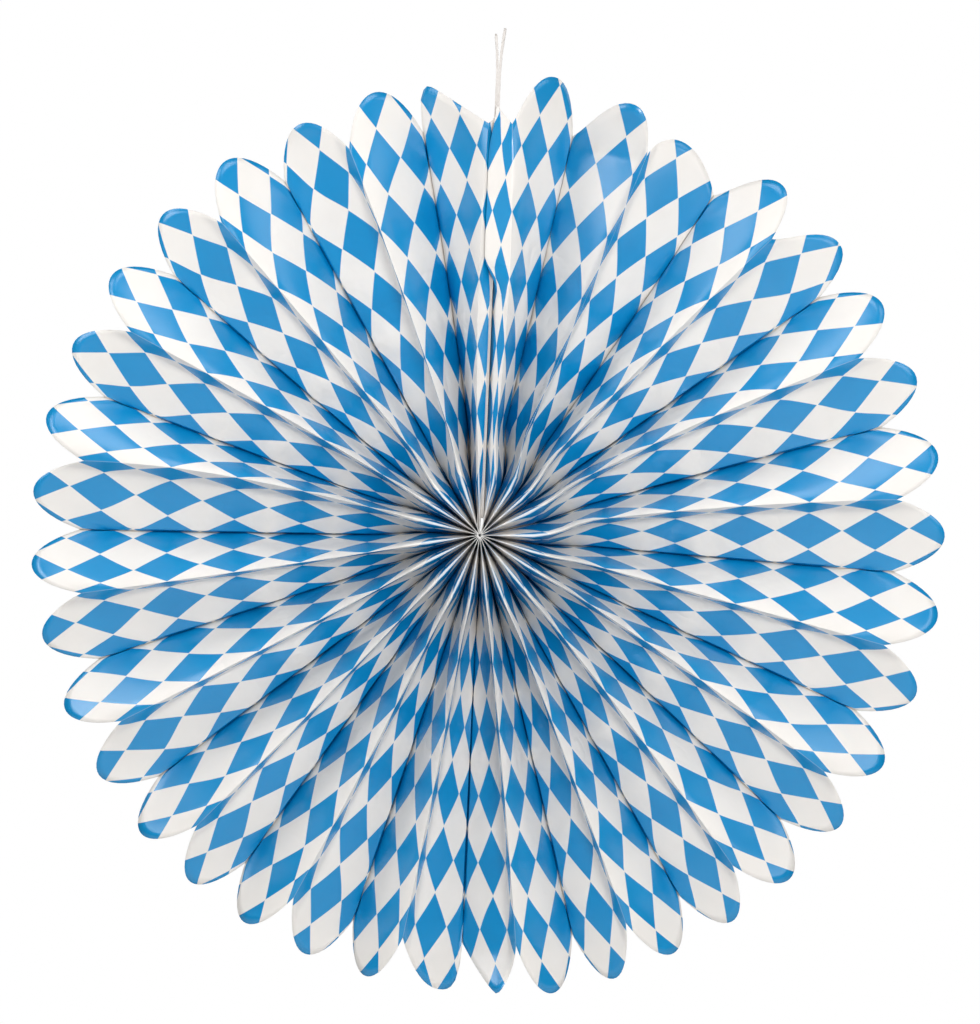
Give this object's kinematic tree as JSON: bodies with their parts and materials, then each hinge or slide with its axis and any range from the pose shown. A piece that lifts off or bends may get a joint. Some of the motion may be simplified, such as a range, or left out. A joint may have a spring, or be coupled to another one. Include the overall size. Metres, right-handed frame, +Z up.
{
  "type": "paper fan rosette",
  "caption": "Round hanging decoration of accordion-pleated printed paper with rounded petal tips, closed into a ring and hung by a hole in two card strips at its seam.",
  "frame": {"origin": "the middle of the hanging hole, on the seam's plane", "axes": "+Z up along the seam, -Y out of the printed front, +X to the right as the front is seen and along the hanging hole"},
  "size_m": [0.4494, 0.0462, 0.4738],
  "materials": {
    "printed_paper": "satin coated paper with a blue and white lozenge print on its front",
    "white_card": "plain matt white card"
  },
  "bodies": {
    "root": {"pleated_sheet": "printed_paper", "end_card_left": "white_card", "end_card_right": "white_card"}
  },
  "joints": []
}
